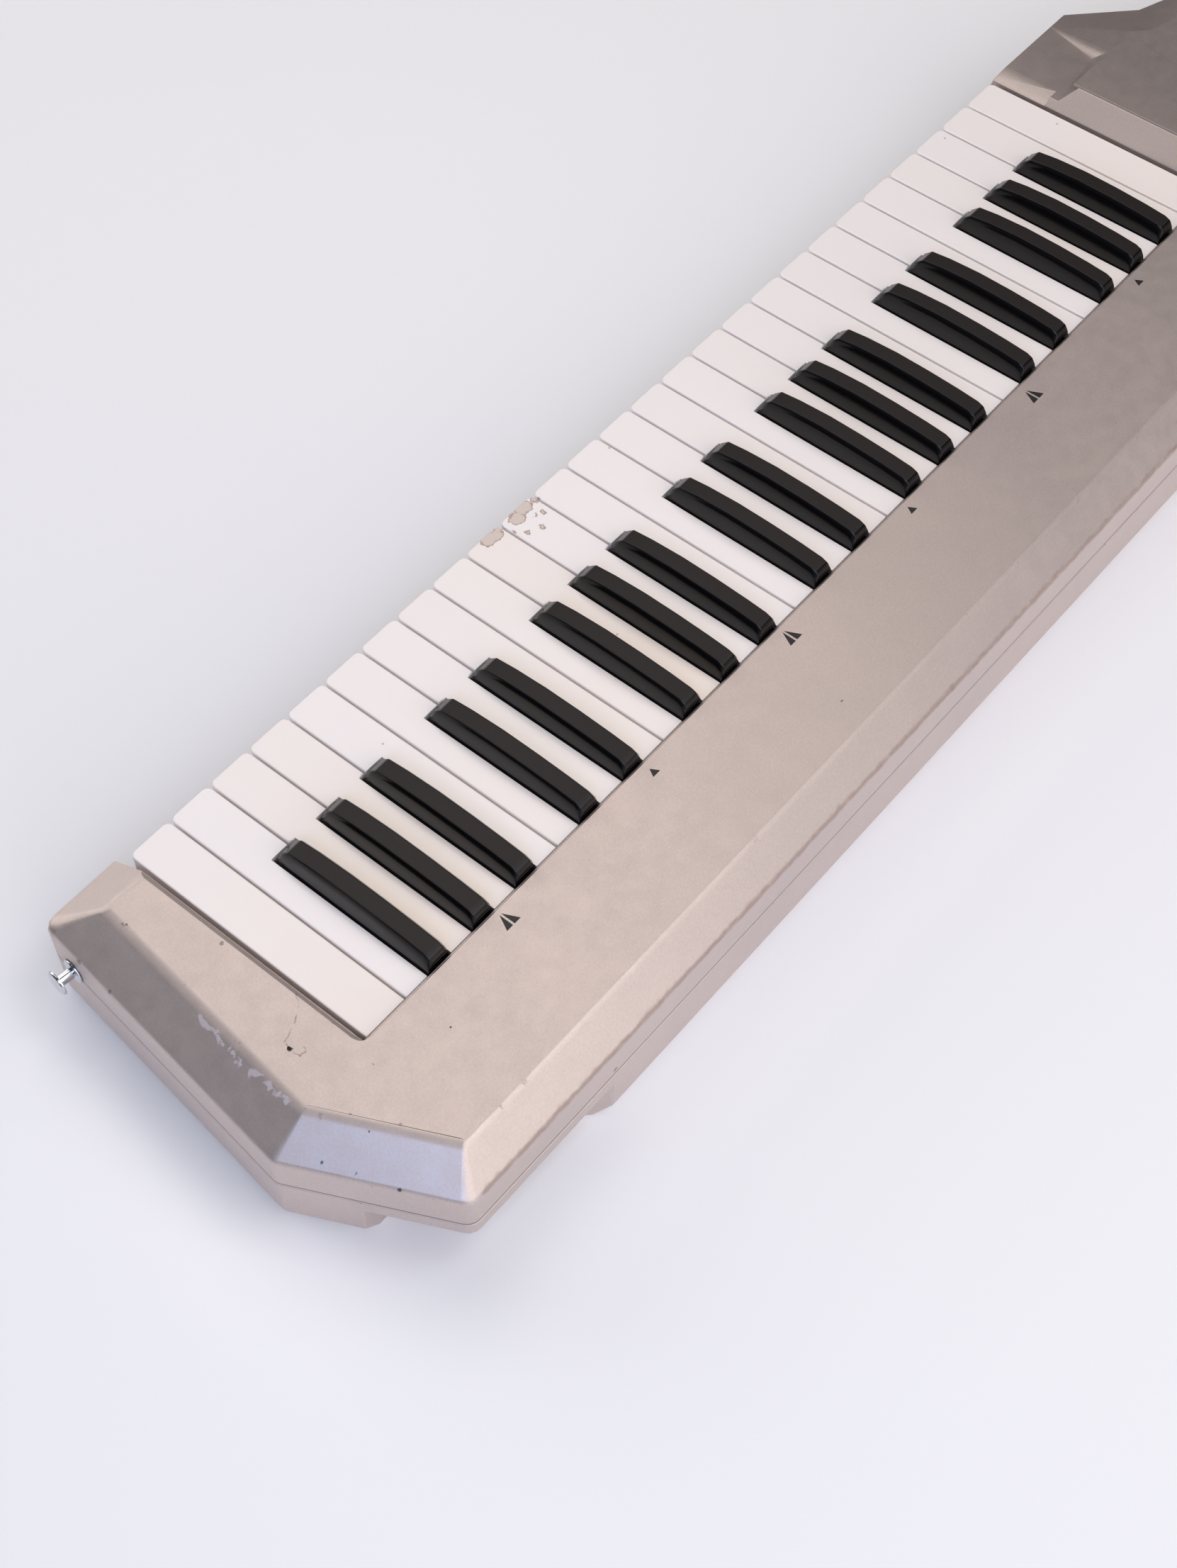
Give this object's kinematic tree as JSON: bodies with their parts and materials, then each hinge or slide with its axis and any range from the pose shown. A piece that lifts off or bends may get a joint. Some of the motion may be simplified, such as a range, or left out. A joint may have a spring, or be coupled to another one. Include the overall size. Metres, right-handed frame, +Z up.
{
  "type": "shoulder keyboard",
  "caption": "Shoulder keyboard with sprung piano keys, a faceted silver case, a short neck with controls, and strap pins.",
  "frame": {"origin": "bottom centre of the whole instrument's box, on the surface it lies on", "axes": "+X along the keys from the neck to the high notes, +Y from the players' fingers to the panel, +Z up out of the keys"},
  "size_m": [1.138, 0.2318, 0.083],
  "materials": {
    "silver_case": "pearl silver paint, satin",
    "white_key": "moulded, glossy, slightly yellowed",
    "black_key": "moulded, satin top",
    "zinc_steel": "zinc plated sheet",
    "circuit_board": "solder mask",
    "cell_jackets": "printed foil jacket",
    "black_plastic": "fine moulded texture",
    "grey_plastic": "satin",
    "ribbon_pad": "matt film",
    "chrome_pin": "polished"
  },
  "bodies": {
    "case": {"upper_case": "silver_case", "lower_case": "silver_case", "key_chassis": "zinc_steel", "contact_board": "circuit_board", "main_board": "circuit_board", "battery_cells": "cell_jackets", "bend_ribbon": "ribbon_pad", "strap_pin_tail": "chrome_pin", "strap_pin_neck": "chrome_pin"},
    "battery_door": {"battery_door": "silver_case"},
    "modulation_bar": {"modulation_bar": "grey_plastic"},
    "volume_knob": {"volume_knob": "black_plastic"},
    "octave_down_button": {"octave_down_button": "grey_plastic"},
    "octave_up_button": {"octave_up_button": "grey_plastic"},
    "power_switch": {"power_switch": "black_plastic"},
    "white_key_01": {"white_key_01": "white_key"},
    "white_key_02": {"white_key_02": "white_key"},
    "white_key_03": {"white_key_03": "white_key"},
    "white_key_04": {"white_key_04": "white_key"},
    "white_key_05": {"white_key_05": "white_key"},
    "white_key_06": {"white_key_06": "white_key"},
    "white_key_07": {"white_key_07": "white_key"},
    "white_key_08": {"white_key_08": "white_key"},
    "white_key_09": {"white_key_09": "white_key"},
    "white_key_10": {"white_key_10": "white_key"},
    "white_key_11": {"white_key_11": "white_key"},
    "white_key_12": {"white_key_12": "white_key"},
    "white_key_13": {"white_key_13": "white_key"},
    "white_key_14": {"white_key_14": "white_key"},
    "white_key_15": {"white_key_15": "white_key"},
    "white_key_16": {"white_key_16": "white_key"},
    "white_key_17": {"white_key_17": "white_key"},
    "white_key_18": {"white_key_18": "white_key"},
    "white_key_19": {"white_key_19": "white_key"},
    "white_key_20": {"white_key_20": "white_key"},
    "white_key_21": {"white_key_21": "white_key"},
    "white_key_22": {"white_key_22": "white_key"},
    "white_key_23": {"white_key_23": "white_key"},
    "white_key_24": {"white_key_24": "white_key"},
    "white_key_25": {"white_key_25": "white_key"},
    "white_key_26": {"white_key_26": "white_key"},
    "white_key_27": {"white_key_27": "white_key"},
    "black_key_01": {"black_key_01": "black_key"},
    "black_key_02": {"black_key_02": "black_key"},
    "black_key_03": {"black_key_03": "black_key"},
    "black_key_04": {"black_key_04": "black_key"},
    "black_key_05": {"black_key_05": "black_key"},
    "black_key_06": {"black_key_06": "black_key"},
    "black_key_07": {"black_key_07": "black_key"},
    "black_key_08": {"black_key_08": "black_key"},
    "black_key_09": {"black_key_09": "black_key"},
    "black_key_10": {"black_key_10": "black_key"},
    "black_key_11": {"black_key_11": "black_key"},
    "black_key_12": {"black_key_12": "black_key"},
    "black_key_13": {"black_key_13": "black_key"},
    "black_key_14": {"black_key_14": "black_key"},
    "black_key_15": {"black_key_15": "black_key"},
    "black_key_16": {"black_key_16": "black_key"},
    "black_key_17": {"black_key_17": "black_key"},
    "black_key_18": {"black_key_18": "black_key"}
  },
  "joints": [
    {"name": "battery_door_hinge", "type": "hinge", "parent": "case", "child": "battery_door", "pos_m": [0.244, -0.0244, 0.001], "axis": [-1, 0, 0], "range_deg": [0, 90]},
    {"name": "modulation_bar_press", "type": "hinge", "parent": "case", "child": "modulation_bar", "pos_m": [-0.45099, 0.0051, 0.0696], "axis": [1, 0, 0], "range_deg": [0, 6], "stiffness_Nm_per_rad": 0.2, "springref_deg": -5.73},
    {"name": "volume_knob_turn", "type": "hinge", "parent": "case", "child": "volume_knob", "pos_m": [-0.28599, -0.0094, 0.071], "axis": [0, 0, 1], "range_deg": [-150, 150]},
    {"name": "octave_down_press", "type": "slide", "parent": "case", "child": "octave_down_button", "axis": [0, 0, -1], "range_m": [0, 0.0012], "stiffness_N_per_m": 600, "springref_m": -0.001},
    {"name": "octave_up_press", "type": "slide", "parent": "case", "child": "octave_up_button", "axis": [0, 0, -1], "range_m": [0, 0.0012], "stiffness_N_per_m": 600, "springref_m": -0.001},
    {"name": "power_switch_slide", "type": "slide", "parent": "case", "child": "power_switch", "axis": [1, 0, 0], "range_m": [0, 0.004]},
    {"name": "white_key_01_hinge", "type": "hinge", "parent": "case", "child": "white_key_01", "pos_m": [-0.11374, 0.0846, 0.05], "axis": [1, 0, 0], "range_deg": [0, 2.95], "stiffness_Nm_per_rad": 0.4, "springref_deg": -14.32},
    {"name": "white_key_02_hinge", "type": "hinge", "parent": "case", "child": "white_key_02", "pos_m": [-0.09025, 0.0846, 0.05], "axis": [1, 0, 0], "range_deg": [0, 2.95], "stiffness_Nm_per_rad": 0.4, "springref_deg": -14.32},
    {"name": "white_key_03_hinge", "type": "hinge", "parent": "case", "child": "white_key_03", "pos_m": [-0.06674, 0.0846, 0.05], "axis": [1, 0, 0], "range_deg": [0, 2.95], "stiffness_Nm_per_rad": 0.4, "springref_deg": -14.32},
    {"name": "white_key_04_hinge", "type": "hinge", "parent": "case", "child": "white_key_04", "pos_m": [-0.04324, 0.0846, 0.05], "axis": [1, 0, 0], "range_deg": [0, 2.95], "stiffness_Nm_per_rad": 0.4, "springref_deg": -14.32},
    {"name": "white_key_05_hinge", "type": "hinge", "parent": "case", "child": "white_key_05", "pos_m": [-0.01974, 0.0846, 0.05], "axis": [1, 0, 0], "range_deg": [0, 2.95], "stiffness_Nm_per_rad": 0.4, "springref_deg": -14.32},
    {"name": "white_key_06_hinge", "type": "hinge", "parent": "case", "child": "white_key_06", "pos_m": [0.00376, 0.0846, 0.05], "axis": [1, 0, 0], "range_deg": [0, 2.95], "stiffness_Nm_per_rad": 0.4, "springref_deg": -14.32},
    {"name": "white_key_07_hinge", "type": "hinge", "parent": "case", "child": "white_key_07", "pos_m": [0.02726, 0.0846, 0.05], "axis": [1, 0, 0], "range_deg": [0, 2.95], "stiffness_Nm_per_rad": 0.4, "springref_deg": -14.32},
    {"name": "white_key_08_hinge", "type": "hinge", "parent": "case", "child": "white_key_08", "pos_m": [0.05076, 0.0846, 0.05], "axis": [1, 0, 0], "range_deg": [0, 2.95], "stiffness_Nm_per_rad": 0.4, "springref_deg": -14.32},
    {"name": "white_key_09_hinge", "type": "hinge", "parent": "case", "child": "white_key_09", "pos_m": [0.07426, 0.0846, 0.05], "axis": [1, 0, 0], "range_deg": [0, 2.95], "stiffness_Nm_per_rad": 0.4, "springref_deg": -14.32},
    {"name": "white_key_10_hinge", "type": "hinge", "parent": "case", "child": "white_key_10", "pos_m": [0.09775, 0.0846, 0.05], "axis": [1, 0, 0], "range_deg": [0, 2.95], "stiffness_Nm_per_rad": 0.4, "springref_deg": -14.32},
    {"name": "white_key_11_hinge", "type": "hinge", "parent": "case", "child": "white_key_11", "pos_m": [0.12126, 0.0846, 0.05], "axis": [1, 0, 0], "range_deg": [0, 2.95], "stiffness_Nm_per_rad": 0.4, "springref_deg": -14.32},
    {"name": "white_key_12_hinge", "type": "hinge", "parent": "case", "child": "white_key_12", "pos_m": [0.14475, 0.0846, 0.05], "axis": [1, 0, 0], "range_deg": [0, 2.95], "stiffness_Nm_per_rad": 0.4, "springref_deg": -14.32},
    {"name": "white_key_13_hinge", "type": "hinge", "parent": "case", "child": "white_key_13", "pos_m": [0.16825, 0.0846, 0.05], "axis": [1, 0, 0], "range_deg": [0, 2.95], "stiffness_Nm_per_rad": 0.4, "springref_deg": -14.32},
    {"name": "white_key_14_hinge", "type": "hinge", "parent": "case", "child": "white_key_14", "pos_m": [0.19176, 0.0846, 0.05], "axis": [1, 0, 0], "range_deg": [0, 2.95], "stiffness_Nm_per_rad": 0.4, "springref_deg": -14.32},
    {"name": "white_key_15_hinge", "type": "hinge", "parent": "case", "child": "white_key_15", "pos_m": [0.21526, 0.0846, 0.05], "axis": [1, 0, 0], "range_deg": [0, 2.95], "stiffness_Nm_per_rad": 0.4, "springref_deg": -14.32},
    {"name": "white_key_16_hinge", "type": "hinge", "parent": "case", "child": "white_key_16", "pos_m": [0.23875, 0.0846, 0.05], "axis": [1, 0, 0], "range_deg": [0, 2.95], "stiffness_Nm_per_rad": 0.4, "springref_deg": -14.32},
    {"name": "white_key_17_hinge", "type": "hinge", "parent": "case", "child": "white_key_17", "pos_m": [0.26226, 0.0846, 0.05], "axis": [1, 0, 0], "range_deg": [0, 2.95], "stiffness_Nm_per_rad": 0.4, "springref_deg": -14.32},
    {"name": "white_key_18_hinge", "type": "hinge", "parent": "case", "child": "white_key_18", "pos_m": [0.28575, 0.0846, 0.05], "axis": [1, 0, 0], "range_deg": [0, 2.95], "stiffness_Nm_per_rad": 0.4, "springref_deg": -14.32},
    {"name": "white_key_19_hinge", "type": "hinge", "parent": "case", "child": "white_key_19", "pos_m": [0.30926, 0.0846, 0.05], "axis": [1, 0, 0], "range_deg": [0, 2.95], "stiffness_Nm_per_rad": 0.4, "springref_deg": -14.32},
    {"name": "white_key_20_hinge", "type": "hinge", "parent": "case", "child": "white_key_20", "pos_m": [0.33276, 0.0846, 0.05], "axis": [1, 0, 0], "range_deg": [0, 2.95], "stiffness_Nm_per_rad": 0.4, "springref_deg": -14.32},
    {"name": "white_key_21_hinge", "type": "hinge", "parent": "case", "child": "white_key_21", "pos_m": [0.35625, 0.0846, 0.05], "axis": [1, 0, 0], "range_deg": [0, 2.95], "stiffness_Nm_per_rad": 0.4, "springref_deg": -14.32},
    {"name": "white_key_22_hinge", "type": "hinge", "parent": "case", "child": "white_key_22", "pos_m": [0.37976, 0.0846, 0.05], "axis": [1, 0, 0], "range_deg": [0, 2.95], "stiffness_Nm_per_rad": 0.4, "springref_deg": -14.32},
    {"name": "white_key_23_hinge", "type": "hinge", "parent": "case", "child": "white_key_23", "pos_m": [0.40325, 0.0846, 0.05], "axis": [1, 0, 0], "range_deg": [0, 2.95], "stiffness_Nm_per_rad": 0.4, "springref_deg": -14.32},
    {"name": "white_key_24_hinge", "type": "hinge", "parent": "case", "child": "white_key_24", "pos_m": [0.42675, 0.0846, 0.05], "axis": [1, 0, 0], "range_deg": [0, 2.95], "stiffness_Nm_per_rad": 0.4, "springref_deg": -14.32},
    {"name": "white_key_25_hinge", "type": "hinge", "parent": "case", "child": "white_key_25", "pos_m": [0.45026, 0.0846, 0.05], "axis": [1, 0, 0], "range_deg": [0, 2.95], "stiffness_Nm_per_rad": 0.4, "springref_deg": -14.32},
    {"name": "white_key_26_hinge", "type": "hinge", "parent": "case", "child": "white_key_26", "pos_m": [0.47375, 0.0846, 0.05], "axis": [1, 0, 0], "range_deg": [0, 2.95], "stiffness_Nm_per_rad": 0.4, "springref_deg": -14.32},
    {"name": "white_key_27_hinge", "type": "hinge", "parent": "case", "child": "white_key_27", "pos_m": [0.49726, 0.0846, 0.05], "axis": [1, 0, 0], "range_deg": [0, 2.95], "stiffness_Nm_per_rad": 0.4, "springref_deg": -14.32},
    {"name": "black_key_01_hinge", "type": "hinge", "parent": "case", "child": "black_key_01", "pos_m": [-0.08178, 0.0846, 0.05], "axis": [1, 0, 0], "range_deg": [0, 3.55], "stiffness_Nm_per_rad": 0.4, "springref_deg": -14.32},
    {"name": "black_key_02_hinge", "type": "hinge", "parent": "case", "child": "black_key_02", "pos_m": [-0.055, 0.0846, 0.05], "axis": [1, 0, 0], "range_deg": [0, 3.55], "stiffness_Nm_per_rad": 0.4, "springref_deg": -14.32},
    {"name": "black_key_03_hinge", "type": "hinge", "parent": "case", "child": "black_key_03", "pos_m": [-0.02821, 0.0846, 0.05], "axis": [1, 0, 0], "range_deg": [0, 3.55], "stiffness_Nm_per_rad": 0.4, "springref_deg": -14.32},
    {"name": "black_key_04_hinge", "type": "hinge", "parent": "case", "child": "black_key_04", "pos_m": [0.01292, 0.0846, 0.05], "axis": [1, 0, 0], "range_deg": [0, 3.55], "stiffness_Nm_per_rad": 0.4, "springref_deg": -14.32},
    {"name": "black_key_05_hinge", "type": "hinge", "parent": "case", "child": "black_key_05", "pos_m": [0.04159, 0.0846, 0.05], "axis": [1, 0, 0], "range_deg": [0, 3.55], "stiffness_Nm_per_rad": 0.4, "springref_deg": -14.32},
    {"name": "black_key_06_hinge", "type": "hinge", "parent": "case", "child": "black_key_06", "pos_m": [0.08271, 0.0846, 0.05], "axis": [1, 0, 0], "range_deg": [0, 3.55], "stiffness_Nm_per_rad": 0.4, "springref_deg": -14.32},
    {"name": "black_key_07_hinge", "type": "hinge", "parent": "case", "child": "black_key_07", "pos_m": [0.10951, 0.0846, 0.05], "axis": [1, 0, 0], "range_deg": [0, 3.55], "stiffness_Nm_per_rad": 0.4, "springref_deg": -14.32},
    {"name": "black_key_08_hinge", "type": "hinge", "parent": "case", "child": "black_key_08", "pos_m": [0.13629, 0.0846, 0.05], "axis": [1, 0, 0], "range_deg": [0, 3.55], "stiffness_Nm_per_rad": 0.4, "springref_deg": -14.32},
    {"name": "black_key_09_hinge", "type": "hinge", "parent": "case", "child": "black_key_09", "pos_m": [0.17742, 0.0846, 0.05], "axis": [1, 0, 0], "range_deg": [0, 3.55], "stiffness_Nm_per_rad": 0.4, "springref_deg": -14.32},
    {"name": "black_key_10_hinge", "type": "hinge", "parent": "case", "child": "black_key_10", "pos_m": [0.20609, 0.0846, 0.05], "axis": [1, 0, 0], "range_deg": [0, 3.55], "stiffness_Nm_per_rad": 0.4, "springref_deg": -14.32},
    {"name": "black_key_11_hinge", "type": "hinge", "parent": "case", "child": "black_key_11", "pos_m": [0.24721, 0.0846, 0.05], "axis": [1, 0, 0], "range_deg": [0, 3.55], "stiffness_Nm_per_rad": 0.4, "springref_deg": -14.32},
    {"name": "black_key_12_hinge", "type": "hinge", "parent": "case", "child": "black_key_12", "pos_m": [0.274, 0.0846, 0.05], "axis": [1, 0, 0], "range_deg": [0, 3.55], "stiffness_Nm_per_rad": 0.4, "springref_deg": -14.32},
    {"name": "black_key_13_hinge", "type": "hinge", "parent": "case", "child": "black_key_13", "pos_m": [0.30079, 0.0846, 0.05], "axis": [1, 0, 0], "range_deg": [0, 3.55], "stiffness_Nm_per_rad": 0.4, "springref_deg": -14.32},
    {"name": "black_key_14_hinge", "type": "hinge", "parent": "case", "child": "black_key_14", "pos_m": [0.34192, 0.0846, 0.05], "axis": [1, 0, 0], "range_deg": [0, 3.55], "stiffness_Nm_per_rad": 0.4, "springref_deg": -14.32},
    {"name": "black_key_15_hinge", "type": "hinge", "parent": "case", "child": "black_key_15", "pos_m": [0.37059, 0.0846, 0.05], "axis": [1, 0, 0], "range_deg": [0, 3.55], "stiffness_Nm_per_rad": 0.4, "springref_deg": -14.32},
    {"name": "black_key_16_hinge", "type": "hinge", "parent": "case", "child": "black_key_16", "pos_m": [0.41171, 0.0846, 0.05], "axis": [1, 0, 0], "range_deg": [0, 3.55], "stiffness_Nm_per_rad": 0.4, "springref_deg": -14.32},
    {"name": "black_key_17_hinge", "type": "hinge", "parent": "case", "child": "black_key_17", "pos_m": [0.4385, 0.0846, 0.05], "axis": [1, 0, 0], "range_deg": [0, 3.55], "stiffness_Nm_per_rad": 0.4, "springref_deg": -14.32},
    {"name": "black_key_18_hinge", "type": "hinge", "parent": "case", "child": "black_key_18", "pos_m": [0.4653, 0.0846, 0.05], "axis": [1, 0, 0], "range_deg": [0, 3.55], "stiffness_Nm_per_rad": 0.4, "springref_deg": -14.32}
  ]
}
